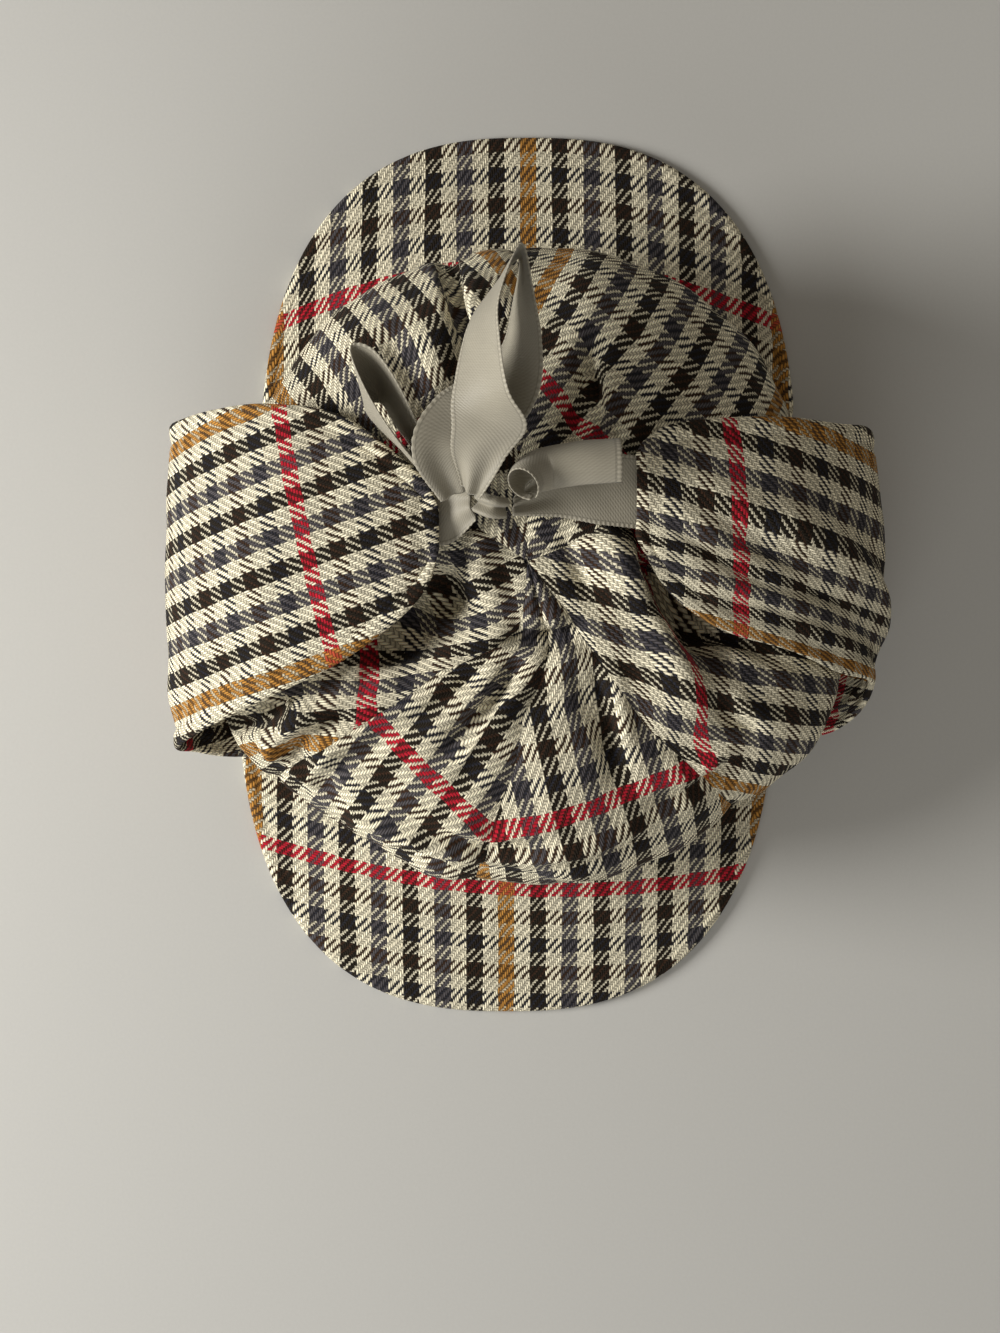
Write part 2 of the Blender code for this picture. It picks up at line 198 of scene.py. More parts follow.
# place, from x, from y, to x, to y, width, depth, in shares of the crown's half width and half length
CROWN_FOLDS = (
    ("front tuck", -0.03, -0.2, 0.13, -0.22, 0.022, 0.055),
    ("left front hollow", -0.42, -0.22, -0.28, -0.14, 0.06, 0.06),
    ("right hollow", 0.36, -0.16, 0.62, -0.1, 0.05, 0.065),
    ("front left crease", -0.05, -0.32, -0.2, -0.6, 0.022, 0.03),
    ("front right crease", 0.16, -0.34, 0.28, -0.62, 0.022, 0.032),
    ("right ridge", 0.24, 0.05, 0.44, -0.42, 0.045, -0.04),
    ("back crease", 0.15, 0.38, 0.2, 0.62, 0.022, 0.045),
    ("back left fold", -0.22, 0.98, -0.2, 0.62, 0.02, 0.05),
    ("low front crease", -0.5, -0.88, 0.2, -1.0, 0.02, 0.04),
    ("low left crease", -0.85, -0.45, -0.55, -0.8, 0.022, 0.03),
)

# How a crease's ends fade, where its ridge lies and how wide it is, and the facing that gives full depth
CREASE_END = (-0.05, 0.3)
LIP_PLACE = 1.9
LIP_WIDTH = 1.1
CREASE_FACING = 0.35

# Smaller creases of the crown. Routes and widths are in photo pixels, and lip is the height of the ridge
# to the left of the route.
# place, route, width, depth, lip
CROWN_CREASES = (
    ("front tuck", ((490, 652), (516, 640), (546, 637), (582, 628)), 8.0, 3.4, 3.2),
    ("panel six valley", ((524, 652), (500, 688), (474, 720), (452, 746), (424, 770)), 9.0, 4.0, 3.0),
    ("panel six second", ((490, 662), (452, 694), (420, 716), (392, 730)), 9.0, 3.0, 2.4),
    ("panel one valley", ((590, 656), (604, 704), (614, 766)), 9.0, 3.2, 2.2),
    ("right roll", ((590, 500), (618, 556), (648, 612), (680, 668), (708, 730)), 18.0, -6.0, 0.0),
    ("right hollow", ((640, 530), (668, 584), (698, 632), (736, 676)), 18.0, 10.0, 0.0),
    ("right crease", ((650, 566), (670, 604), (700, 640), (730, 664)), 7.0, 3.0, 0.0),
    ("wedge left", ((520, 512), (514, 560), (510, 606)), 9.0, 3.4, 1.0),
    ("wedge right", ((562, 526), (574, 562), (590, 600)), 8.0, 2.4, 1.0),
    ("left roll", ((470, 520), (480, 560), (462, 606)), 22.0, -2.6, 0.0),
    ("back valley", ((586, 360), (598, 408), (606, 456)), 10.0, 4.2, 2.4),
    ("back left fold", ((436, 240), (456, 288), (466, 346)), 8.0, 4.6, 3.0),
    ("back left dip", ((380, 326), (410, 372), (432, 414)), 14.0, 4.0, 1.0),
    ("left hollow", ((360, 610), (404, 640), (436, 610), (452, 560)), 26.0, 9.0, 0.0),
    ("left hollow edge", ((350, 706), (372, 668), (420, 640), (476, 622)), 8.0, 2.8, 2.6),
    ("low front one", ((296, 798), (350, 832), (430, 860), (510, 878)), 7.0, 4.0, 3.4),
    ("low front two", ((420, 832), (490, 850), (570, 842)), 7.0, 3.0, 2.4),
    ("low front three", ((520, 872), (590, 862), (660, 836)), 7.0, 2.8, 2.4),
    ("low left", ((238, 742), (275, 775), (316, 800)), 8.0, 3.6, 2.8),
    ("low right", ((640, 808), (700, 788), (756, 752)), 8.0, 2.8, 2.2),
    ("left front pleat", ((272, 774), (298, 742), (352, 710)), 9.0, 4.6, 3.0),
    ("left front second", ((316, 796), (344, 760), (390, 738)), 9.0, 3.0, 2.2),
    ("ribbon rests", ((540, 486), (600, 510), (624, 524), (690, 532)), 15.0, 3.2, 0.0),
    ("left flap rests", ((196, 700), (256, 674), (316, 640), (372, 604)), 22.0, 6.0, 0.0),
    ("right flap rests", ((872, 640), (800, 640), (740, 620), (690, 596)), 18.0, 5.0, 0.0),
    ("under left flap", ((160, 776), (214, 734), (270, 712), (330, 678), (386, 642), (440, 600), (462, 520)),
     14.0, 9.5, 0.0),
    ("under right flap", ((640, 500), (650, 560), (686, 612), (750, 646), (820, 676)), 8.0, 5.5, 0.0),
    ("left side pleat", ((300, 712), (346, 684), (392, 668)), 9.0, 3.8, 2.4),
    ("right front pleat", ((712, 694), (736, 722), (766, 736)), 9.0, 3.4, 2.2),
)
LEFT_FLAP_CREASES = (
    ("soft dip", ((250, 560), (330, 545), (410, 520)), 26.0, 0.9, 0.0),
    ("low dip", ((214, 640), (262, 622), (330, 600)), 16.0, 0.8, 0.0),
)
RIGHT_FLAP_CREASES = (
    ("long fold", ((655, 520), (700, 545), (745, 578), (800, 596), (862, 612)), 9.0, 1.8, 1.4),
    ("upper fold", ((668, 486), (712, 512), (770, 540), (830, 558)), 11.0, 0.9, 0.8),
    ("lower fold", ((700, 600), (760, 606), (820, 622), (862, 650)), 9.0, 1.2, 1.0),
    ("near corner", ((790, 640), (830, 655), (850, 680)), 9.0, 1.2, 0.8),
)

# place, along, out, up, front, back, bow, droop
LEFT_FLAP_ROWS = (
    ("rim", 0.0, 0.765, 0.055, -1.16, 0.94, 1.0, 0.0),
    ("low side", 0.13, 0.92, 0.15, -1.18, 0.93, 0.45, 0.0),
    ("outside", 0.25, 0.982, 0.29, -1.14, 0.91, 0.18, 0.0),
    ("bend", 0.36, 0.998, 0.44, -1.12, 0.89, 0.1, 0.0),
    ("turn", 0.47, 0.955, 0.6, -1.06, 0.89, 0.08, 0.02),
    ("upper side", 0.58, 0.85, 0.79, -0.95, 0.91, 0.04, 0.05),
    ("shoulder", 0.7, 0.69, 0.935, -0.79, 0.92, 0.0, 0.07),
    ("top", 0.82, 0.49, 1.01, -0.58, 0.84, 0.0, 0.07),
    ("inner", 0.92, 0.33, 1.035, -0.33, 0.59, 0.0, 0.03),
    ("corner", 0.97, 0.255, 1.034, -0.14, 0.43, 0.0, 0.005),
    ("end", 1.0, 0.228, 1.035, 0.06, 0.28, 0.0, 0.0),
)
RIGHT_FLAP_ROWS = (
    ("rim", 0.0, 0.765, 0.055, -1.06, 0.9, 1.0, 0.0),
    ("low side", 0.13, 0.915, 0.15, -1.05, 0.86, 0.5, 0.0),
    ("outside", 0.25, 0.98, 0.3, -0.92, 0.84, 0.4, 0.0),
    ("bend", 0.36, 0.994, 0.45, -0.74, 0.84, 0.42, 0.0),
    ("turn", 0.47, 0.955, 0.61, -0.68, 0.85, 0.36, 0.02),
    ("upper side", 0.58, 0.85, 0.795, -0.64, 0.83, 0.2, 0.05),
    ("shoulder", 0.7, 0.695, 0.94, -0.51, 0.84, 0.08, 0.07),
    ("top", 0.82, 0.505, 1.015, -0.39, 0.82, 0.0, 0.07),
    ("inner", 0.92, 0.365, 1.035, -0.18, 0.77, 0.0, 0.04),
    ("corner", 0.97, 0.3, 1.034, 0.04, 0.68, 0.0, 0.02),
    ("end", 1.0, 0.28, 1.037, 0.14, 0.6, 0.0, 0.0),
)

# place, from along, from across, to along, to across, width, depth
LEFT_FLAP_FOLDS = (
    ("front pocket", 0.3, 0.04, 0.62, 0.16, 0.07, 0.03),
    ("soft middle", 0.52, 0.5, 0.8, 0.46, 0.14, -0.016),
)
RIGHT_FLAP_FOLDS = (
    ("long crease", 0.4, 0.1, 0.78, 0.4, 0.06, 0.034),
    ("ridge beside it", 0.36, 0.26, 0.7, 0.56, 0.07, -0.034),
    ("short crease", 0.42, 0.42, 0.62, 0.62, 0.05, 0.022),
)

# How the weave lies on each flap in plan: slope of the warp, where the tan warp line at its back edge
# lies, from where the warp is packed closer and by how much, slope of the weft, place of the red line
LEFT_FLAP_LAID = (0.33, 78.5, 0.0, 0.035, 0.235, (-72.0, 12.0))
RIGHT_FLAP_LAID = (0.3, 70.4, 45.0, 0.77, 0.06, (67.5, 10.0))

# place, x, y, z, turn, tilt, wide
BACK_LOOP_ROWS = (
    ("knot", -0.072, -0.015, 0.027, -35.0, 5.0, 0.3),
    ("rise", -0.037, 0.135, 0.108, -9.0, 8.0, 0.72),
    ("broad", 0.009, 0.254, 0.176, -6.0, 10.0, 1.0),
    ("twist", -0.023, 0.393, 0.23, -12.0, 42.0, 1.0),
    ("steep", -0.019, 0.627, 0.243, -16.0, 63.0, 1.0),
    ("before tip", 0.022, 0.776, 0.216, -22.0, 76.0, 1.0),
    ("tip", 0.136, 0.971, 0.162, -26.0, 88.0, 0.92),
    ("after tip", 0.15, 0.815, 0.095, -14.0, 76.0, 1.0),
    ("back", 0.142, 0.604, 0.06, -8.0, 58.0, 1.0),
    ("back low", 0.066, 0.405, 0.07, -37.0, 22.0, 1.0),
    ("under", -0.105, 0.269, 0.075, -44.0, 4.0, 1.0),
    ("left", -0.185, 0.147, 0.078, 8.0, -8.0, 0.8),
    ("return", -0.135, -0.018, -0.02, 25.0, -6.0, 0.42),
)
LEFT_LOOP_ROWS = (
    ("knot", -0.2, 0.016, -0.062, 102.0, 86.0, 0.4),
    ("front", -0.35, 0.17, -0.008, 102.0, 86.0, 0.74),
    ("front end", -0.472, 0.325, -0.03, 102.0, 72.0, 0.92),
    ("bend", -0.545, 0.476, -0.04, 102.0, 44.0, 1.0),
    ("back end", -0.466, 0.486, -0.054, 96.0, 52.0, 1.0),
    ("back", -0.369, 0.345, -0.068, 80.0, 62.0, 0.9),
    ("return", -0.255, 0.146, -0.055, 75.0, 72.0, 0.5),
)
LEFT_BAND_ROWS = (
    ("knot", -0.065, -0.055, -0.085, 105.0, 8.0, 0.4),
    ("middle", -0.169, -0.08, -0.15, 102.0, 6.0, 0.8),
    ("under flap", -0.268, -0.08, -0.168, 98.0, 0.0, 0.95),
)
RIGHT_BAND_ROWS = (
    ("knot", 0.109, -0.054, -0.12, 84.0, 6.0, 0.26),
    ("middle", 0.311, 0.026, -0.148, 88.0, 3.0, 0.8),
    ("wide", 0.481, 0.022, -0.156, 90.0, 0.0, 0.97),
    ("under flap", 0.69, 0.005, -0.166, 90.0, 0.0, 1.0),
)
KNOT_ROWS = (
    ("left", -0.05, -0.04, -0.058, 80.0, 20.0, 0.26),
    ("middle", 0.02, -0.068, -0.01, 75.0, 30.0, 0.3),
    ("right", 0.085, -0.072, -0.04, 80.0, 20.0, 0.26),
)

# place, x, y, z, curl
RIGHT_LOOP_ROWS = (
    ("mouth", 0.145, 0.026, 0.085, 345.0),
    ("throat", 0.171, 0.062, 0.04, 320.0),
    ("shoulder", 0.243, 0.091, -0.03, 260.0),
    ("middle", 0.389, 0.1, -0.044, 218.0),
    ("end", 0.558, 0.101, -0.047, 200.0),
)

# Stretches of ribbon. crosswise says that one is curled about its own line.
# node, rows, length, width, pleats, crosswise
BANDS = (
    ("bow_back_loop", BACK_LOOP_ROWS, 170.0, RIBBON_WIDTH, 1.5, False),
    ("bow_left_loop", LEFT_LOOP_ROWS, 85.0, RIBBON_WIDTH, 1.5, False),
    ("bow_right_loop", RIGHT_LOOP_ROWS, 36.0, LOOP_WRAP, 1.0, True),
    ("bow_knot", KNOT_ROWS, 14.0, RIBBON_WIDTH, 1.5, False),
    ("left_ribbon", LEFT_BAND_ROWS, 18.0, RIBBON_WIDTH, 1.5, False),
    ("right_ribbon", RIGHT_BAND_ROWS, 46.0, RIBBON_WIDTH, 2.0, False),
)

# The peaks, and how the red line and the weft lie on each
# piece, node, facing, shift, red place, red curve, red slant, stretch
PEAKS = (
    ("tweed_front_peak", "front_peak", -1.0, FRONT_PEAK_SHIFT, -113.2, 0.00133, -0.0577, 1.02),
    ("tweed_back_peak", "back_peak", 1.0, BACK_PEAK_SHIFT, 110.0, -0.00222, 0.0, 0.9),
)

# piece, node, rows, folds, creases, side, how the weave lies, random seed
FLAPS = (
    ("tweed_left_flap", "left_ear_flap", LEFT_FLAP_ROWS, LEFT_FLAP_FOLDS, LEFT_FLAP_CREASES,
     -1.0, LEFT_FLAP_LAID, 61),
    ("tweed_right_flap", "right_ear_flap", RIGHT_FLAP_ROWS, RIGHT_FLAP_FOLDS, RIGHT_FLAP_CREASES,
     1.0, RIGHT_FLAP_LAID, 71),
)

# Weave: threads of the warp run along v and those of the weft along u, both in millimetres
WARP_STRIPE = 5.75
WEFT_STRIPE = 5.3
WARP_THREADS = 8
WEFT_THREADS = 6
WARP_PITCH = WARP_STRIPE / WARP_THREADS
WEFT_PITCH = WEFT_STRIPE / WEFT_THREADS
WARP_STRIPES = "TCACBCACBCACBCAC"
WEFT_STRIPES = "RCNCMCNCMCNCMCNCMC"
WARP_REPEAT = WARP_STRIPE * len(WARP_STRIPES)
WARP_FLOAT = 0.66
RED_FLOAT = 0.47
RED_BLEED = 0.18
TAN_BLEED = 0.3
YARN_FLATNESS = 2.6
TWILL_THREADS = 4.0

# Colours in the photo, from 0 to 255: tan, cream, black, slate, red, dark blue and brown
THREAD_COLOURS = {
    "T": (178, 126, 58),
    "C": (248, 239, 210),
    "A": (24, 18, 15),
    "B": (78, 75, 79),
    "R": (178, 20, 44),
    "N": (38, 41, 55),
    "M": (66, 42, 30),
}
FUZZ_COLOUR = (196, 182, 150)
RIBBON_COLOUR = (153, 147, 131)
FLOOR_COLOUR = (196, 195, 190)

# pitch, threads in a stripe, stripes, stretch of the grain, brightness of the grain and of whole threads
WARP = (WARP_PITCH, WARP_THREADS, WARP_STRIPES, (1.9, 0.35), (0.5, 1.58), (0.86, 1.12))
WEFT = (WEFT_PITCH, WEFT_THREADS, WEFT_STRIPES, (0.35, 1.9), (0.36, 1.16), (0.84, 1.12))

# Brightness from a yarn's side to its middle as painted shade and highlight, of patches and streaks, of the
# ribbon's ribs as painted shade and highlight, of its edges, and painted shade in the ribbon's groove
WARP_PAINTED_SHADE_AND_HIGHLIGHT = (0.16, 1.22)
WEFT_PAINTED_SHADE = (0.22, 0.98)
RED_WEFT_TONE = (1.0, 1.45)
TWEED_PATCH_TONE = (0.88, 1.1)
TWEED_LIGHT = 1.07
FUZZ_SHARE = (-0.02, 0.06)
RIBBON_PATCH_TONE = (0.9, 1.08)
RIBBON_STREAK_TONE = (0.93, 1.06)
RIB_PAINTED_SHADE_AND_HIGHLIGHT = 0.075
SELVEDGE_TONE = 0.12
GROOVE_PAINTED_SHADE = 0.22
FLOOR_TONE = (0.97, 1.03)

# How far the threads drift, and how ragged the floats end, in threads
WARP_DRIFT = (-0.7, 0.7)
WEFT_DRIFT = (-0.9, 0.9)
FLOAT_JITTER = (-0.6, 0.6)
WEFT_HEIGHT = 0.5
FIBRE_HEIGHT = 0.5

# Ribs, twill line and woven edge of the ribbon
TWILL_SLANT = 0.75
RIB_SHARE = 0.35
SELVEDGE = 0.9
SELVEDGE_HEIGHT = 2.4
GROOVE_PLACE = 1.15
GROOVE_WIDTH = 0.25

CROWN_WARP_STRETCH = 1.02
CROWN_WEFT_STRETCH = 0.92

# How far the tan warp lines of each crown panel lie from its edges
TAN_SHIFTS = {1: 0.0, 2: -17.25, 3: 0.0, 4: 0.0, 5: 11.5, 6: 0.0}

# Where the red weft line crosses each crown panel, as two places in plan
# panel: from x, from y, to x, to y
RED_LINES = {
    1: (-15.1, -85.7, 57.8, -61.9),
    2: (57.8, -61.9, 53.0, -37.1),
    3: (4.0, 59.0, 22.0, 39.0),
    4: (-4.0, 59.0, -40.0, 39.0),
    5: (-50.3, -22.0, -53.0, 10.0),
    6: (-53.6, -43.4, -15.5, -84.0),
}


def blend_rows(rows, share):
    """Numbers of a table at shares of its length, on a smooth curve through its rows."""
    table = np.array([row[1:] for row in rows], dtype=float)
    share = np.asarray(share, dtype=float)
    last = len(table) - 1
    index = np.clip(np.searchsorted(table[1:-1, 0], share), 0, last - 1)
    start = table[index]
    end = table[index + 1]
    before = table[np.maximum(index - 1, 0)]
    after = table[np.minimum(index + 2, last)]
    step = (end[..., 0] - start[..., 0])[..., None]
    t = (share[..., None] - start[..., :1]) / step
    slope_in = (end - before) / (end[..., :1] - before[..., :1]) * step
    slope_out = (after - start) / (after[..., :1] - start[..., :1]) * step
    value = start * (2 * t**3 - 3 * t**2 + 1) + slope_in * (t**3 - 2 * t**2 + t)
    value = value + end * (3 * t**2 - 2 * t**3) + slope_out * (t**3 - t**2)
    return np.moveaxis(value, -1, 0)


def even_rows(rows):
    last = len(rows) - 1
    return [(row[0], index / last, *row[1:]) for index, row in enumerate(rows)]


def smooth_step(low, high, value):
    t = np.clip((value - low) / (high - low), 0.0, 1.0)
    return t * t * (3.0 - 2.0 * t)


def soft_noise(x, y, size, seed, waves=14):
    """Smooth random waves of about one size, between about -1 and 1."""
    random = np.random.default_rng(seed)
    total = np.zeros_like(x)
    for _ in range(waves):
        turn = random.uniform(0, 2 * math.pi)
        pitch = size * random.uniform(0.7, 1.6)
        shift = random.uniform(0, 2 * math.pi)
        total += np.sin((x * math.cos(turn) + y * math.sin(turn)) * 2 * math.pi / pitch + shift)
    return total / math.sqrt(waves)


def rim_rise(y):
    return RIM_RISE * smooth_step(0.35, 1.0, np.abs(y) / (HEAD_LENGTH / 2))


def unit(vectors):
    return vectors / np.maximum(np.linalg.norm(vectors, axis=-1, keepdims=True), 1e-9)


def stack(*parts):
    return np.stack(np.broadcast_arrays(*parts), axis=-1)


def fold_depth(x, y, folds, width_scale, depth_scale):
    depth = np.zeros_like(x)
    for _, x0, y0, x1, y1, width, deep in folds:
        run_x = x1 - x0
        run_y = y1 - y0
        along = np.clip(((x - x0) * run_x + (y - y0) * run_y) / (run_x**2 + run_y**2), 0, 1)
        away = np.hypot(x - x0 - along * run_x, y - y0 - along * run_y)
        depth += deep * depth_scale * np.exp(-((away / (width * width_scale)) ** 2))
    return depth


def photo_pixels(points):
    """Pixels of the photo at which points in millimetres show."""
    scale = PHOTO_SCALE * (1.0 - points[..., 2] / CAMERA_PLACE[2])
    x = PHOTO_MIDDLE[0] + (points[..., 0] - CAMERA_PLACE[0]) / scale
    y = PHOTO_MIDDLE[1] - (points[..., 1] - CAMERA_PLACE[1]) / scale
    return x, y


def swells(x, y, rows, seed):
    """Sum of the soft waves of a table."""
    return sum(height * soft_noise(x, y, size, seed + step) for _, height, size, step in rows)


def hem_lines(edge, rows):
    """Sum of the lines of a table that run along an edge."""
    return sum(height * np.exp(-(((edge - place) / width) ** 2)) for _, height, place, width in rows)


def crease_depth(points, normals, creases):
    """Depth of a crease table below a surface that faces up, with the ridge beside each crease."""
    x, y = photo_pixels(points)
    depth = np.zeros_like(x)
    for _, route, width, deep, lip in creases:
        lengths = [math.dist(a, b) for a, b in zip(route, route[1:])]
        total = sum(lengths)
        best = np.full_like(x, 1e9)
        side = np.zeros_like(x)
        place = np.zeros_like(x)
        done = 0.0
        for (x0, y0), (x1, y1), length in zip(route, route[1:], lengths):
            run_x = (x1 - x0) / length
            run_y = (y1 - y0) / length
            along = np.clip((x - x0) * run_x + (y - y0) * run_y, 0, length)
            away = np.hypot(x - x0 - along * run_x, y - y0 - along * run_y)
            nearer = away < best
            best = np.where(nearer, away, best)
            side = np.where(nearer, np.sign((y - y0) * run_x - (x - x0) * run_y), side)
            place = np.where(nearer, (done + along) / total, place)
            done += length
        fade = smooth_step(*CREASE_END, place) * smooth_step(*CREASE_END, 1.0 - place)
        groove = np.exp(-((best / width) ** 2))
        ridge = np.exp(-(((best * side + LIP_PLACE * width) / (LIP_WIDTH * width)) ** 2))
        depth += fade * (deep * groove - lip * ridge)
    return depth * smooth_step(0.0, CREASE_FACING, normals[..., 2])


def grid_normals(points):
    """Unit normals of a grid, along its first axis crossed with its second."""
    return unit(np.cross(np.gradient(points, axis=0), np.gradient(points, axis=1)))


def arc(points, axis):
    """Distance walked over the grid along an axis, from its first row."""
    steps = np.linalg.norm(np.diff(points, axis=axis), axis=-1)
    walked = np.cumsum(steps, axis=axis)
    pad = [(0, 0), (0, 0)]
    pad[axis] = (1, 0)
    return np.pad(walked, pad)


def edged_shares(length, cell, edge):
    """Shares of a length, even in the middle and closer together at both rounded edges."""
    border = np.array([0.0, 0.06, 0.25, 0.6]) * edge / length
    middle = np.linspace(edge / length, 1.0 - edge / length, max(4, round(length / cell)))
    return np.concatenate([border, middle, 1.0 - border[::-1]])


def edge_distance(points):
    rows = arc(points, 0)
    columns = arc(points, 1)
    return np.minimum(np.minimum(rows, rows[-1:] - rows), np.minimum(columns, columns[:, -1:] - columns))


def add_object(name, data):
    item = bpy.data.objects.new(name, data)
    bpy.context.scene.collection.objects.link(item)
    return item


def make_shell(name, middle, normals, cloth, weave, material, rounding=FREE_ROUNDING, flush=False):
    """A closed sheet about a grid of points in millimetres.

    Its edges are rounded, or flush with its outer face where it is sewn to the next sheet.
    """
    rows, columns = middle.shape[:2]
    away = np.clip(edge_distance(middle) / (rounding * cloth), 0, 1)
    turned = np.cross(middle[1, 0] - middle[0, 0], middle[0, 1] - middle[0, 0])
    outside = float(turned @ normals[0, 0]) > 0
    half = 0.5 * cloth * np.sqrt(1.0 - (1.0 - away) ** 2)
    front_half = np.full_like(half, cloth / 2) if flush else half
    front = (middle + normals * front_half[..., None]).reshape(-1, 3)
    back = (middle - normals * half[..., None])[1:-1, 1:-1].reshape(-1, 3)
    front_index = np.arange(rows * columns).reshape(rows, columns)
    back_index = front_index.copy()
    inner = np.arange((rows - 2) * (columns - 2)).reshape(rows - 2, columns - 2)
    back_index[1:-1, 1:-1] = inner + rows * columns
    quads = []
    for index, flip in ((front_index, not outside), (back_index, outside)):
        quad = np.stack([index[:-1, :-1], index[1:, :-1], index[1:, 1:], index[:-1, 1:]], axis=-1)
        quad = quad.reshape(-1, 4)
        quads.append(quad[:, ::-1] if flip else quad)
    quads = np.concatenate(quads)
    places = np.concatenate([front, back]) * MM
    uv = np.concatenate([weave.reshape(-1, 2), weave[1:-1, 1:-1].reshape(-1, 2)])
    mesh = bpy.data.meshes.new(name)
    mesh.from_pydata(places.tolist(), [], quads.tolist())
    layer = mesh.uv_layers.new(name="weave")
    loops = np.empty(len(mesh.loops), dtype=np.int64)
    mesh.loops.foreach_get("vertex_index", loops)
    layer.data.foreach_set("uv", uv[loops].astype(np.float32).ravel())
    mesh.materials.append(material)
    mesh.shade_smooth()
    return add_object(name, mesh)


# Crown


def crown_surface(direction, along, panel_share):
    """Outer face of the crown, where panel_share runs from -1 to 1 between two seams."""
    _, swell, out, up = blend_rows(CROWN_ROWS, np.clip(along, 0, 1))
    for _, towards, spread, place, spread_along, more_up, more_out in FULL_PLACES:
        turned = (np.degrees(direction) - towards + 180.0) % 360.0 - 180.0
        near = np.exp(-((turned / spread) ** 2) - ((along - place) / spread_along) ** 2)
        up = up + more_up * near
        out = out + more_out * near
    half_width = HEAD_WIDTH / 2 + swell * (CROWN_WIDTH - HEAD_WIDTH) / 2
    half_length = HEAD_LENGTH / 2 + swell * (CROWN_LENGTH - HEAD_LENGTH) / 2
    cosine = np.cos(direction)
    sine = np.sin(direction)
    rise = rim_rise(HEAD_LENGTH / 2 * sine)
    hem = HEM_HEIGHT * np.clip((along + HEM_SHARE) / HEM_SHARE, 0, 1)
    z = rise + hem + (CROWN_HEIGHT - rise - HEM_HEIGHT) * up
    puff = PANEL_PUFF * (1 - panel_share**2) * np.sin(math.pi * np.clip(along, 0, 1)) ** 0.8
    x = half_width * out * cosine
    y = half_length * out * sine
    depth = fold_depth(2 * x / CROWN_WIDTH, 2 * y / CROWN_LENGTH, CROWN_FOLDS, 2.0, CROWN_HEIGHT)
    depth = depth * smooth_step(*FOLD_START, along)
    outward = unit(stack(cosine * out, sine * out, 1.3 * up - 0.2))
    push = puff - depth - PANEL_PUFF * smooth_step(0.0, 0.3, along)
    return stack(x, y, z) + outward * push[..., None]


def crown_weave(points, number, radius):
    """Places in the weave of a panel, in millimetres: across its centre line and up from the rim."""
    middle = points.shape[0] // 2
    lateral = arc(points, 0)
    lateral = lateral - lateral[middle][None]
    upward = arc(points, 1)[middle][None]
    level = radius[None]
    slope = np.abs(np.gradient(level[0]) / np.maximum(np.gradient(upward[0]), 1e-6))
    curve = np.clip(slope, 0, 1) / np.maximum(level[0], 4.0)
    v = upward + curve[None] * lateral**2 / 2
    x0, y0, x1, y1 = RED_LINES[number]
    found = []
    for x, y in ((x0, y0), (x1, y1)):
        away = np.hypot(points[..., 0] - x, points[..., 1] - y) - points[..., 2] * 0.02
        place = np.unravel_index(np.argmin(away), away.shape)
        found.append((lateral[place], v[place]))
    slant = (found[1][1] - found[0][1]) / (found[1][0] - found[0][0])
    start = found[0][1] - slant * found[0][0]
    v = (v - start - slant * lateral) * CROWN_WEFT_STRETCH + WEFT_STRIPE / 2
    u = lateral * CROWN_WARP_STRETCH - TAN_SHIFTS[number] + (WARP_REPEAT + WARP_STRIPE) / 2
    return stack(u, v)


def seam_direction(number, radius):
    """Direction of a seam at distances from the apex, with a slight waver of its own."""
    route = np.array(SEAM_ROUTES[number % 6])
    noise_there = soft_noise(radius, 0 * radius, SEAM_WAVER_SIZE, SEAM_WAVER_SEED + number % 6)
    waver = SEAM_WAVER * noise_there / np.maximum(radius, 12.0)
    turns = 2 * math.pi * (number // 6)
    return np.radians(np.interp(radius, route[:, 0], route[:, 1])) + turns + waver


def make_crown_panel(number, material):
    across = edged_shares(CROWN_PANEL_WIDTH, CROWN_CELL, CROWN_EDGE)
    up_share = edged_shares(CROWN_PANEL_LENGTH, CROWN_CELL, CROWN_EDGE)
    along = np.minimum(up_share * (1.0 + HEM_SHARE) - HEM_SHARE, 1.0)
    out = blend_rows(CROWN_ROWS, np.clip(along, 0, 1))[2]
    radius = np.maximum(out * CROWN_WIDTH / 2, APEX_HOLE)
    margin = np.arcsin(np.minimum(1.0, SEAM_GAP / 2 / radius))
    grid_across, grid_along = np.meshgrid(across, along, indexing="ij")
    start = seam_direction(number - 1, radius) + margin
    end = seam_direction(number, radius) - margin
    direction = start[None] + (end - start)[None] * grid_across
    points = crown_surface(direction, grid_along, 2 * grid_across - 1)
    plan = np.hypot(points[..., 0], points[..., 1])
    ring = APEX_HOLE * stack(np.cos(direction), np.sin(direction))
    points[..., :2] = np.where((plan < APEX_HOLE)[..., None], ring, points[..., :2])
    normals = grid_normals(points)
    lateral = arc(points, 0)
    walked = arc(points, 1)
    seam = np.minimum(lateral, lateral[-1:] - lateral)
    open_top = smooth_step(*APEX_FLAT, plan)
    dip = SEAM_DIP * np.exp(-((seam / SEAM_DIP_WIDTH) ** 2))
    phase = soft_noise(walked, lateral, PUCKER_WAVER, number)
    pucker = PUCKER_HEIGHT * np.sin(walked * 2 * math.pi / PUCKER_PITCH + phase)
    pucker = pucker * np.exp(-seam / PUCKER_REACH) * (1.0 - np.exp(-seam / PUCKER_START))
    waves = swells(points[..., 0], points[..., 1], CROWN_SWELLS, CROWN_SWELL_SEED + number)
    waves = waves * smooth_step(0.0, SWELL_START, seam)
    near = np.exp(-((seam / SEAM_AIM) ** 2))[..., None]
    aim = unit(normals * (1.0 - near) + unit(points - CROWN_MIDDLE) * near)
    depth = crease_depth(points, aim, CROWN_CREASES)
    fade = smooth_step(*CREASE_START, grid_along)
    push = open_top * (fade * (pucker + waves - depth) - dip)
    weave = crown_weave(points, number, radius)
    points = points + aim * push[..., None]
    normals = grid_normals(points)
    middle = points - normals * CROWN_CLOTH / 2
    name = f"tweed_crown_panel_{number}"
    return make_shell(name, middle, normals, CROWN_CLOTH, weave, material, SEWN_ROUNDING, flush=True)


# Peaks


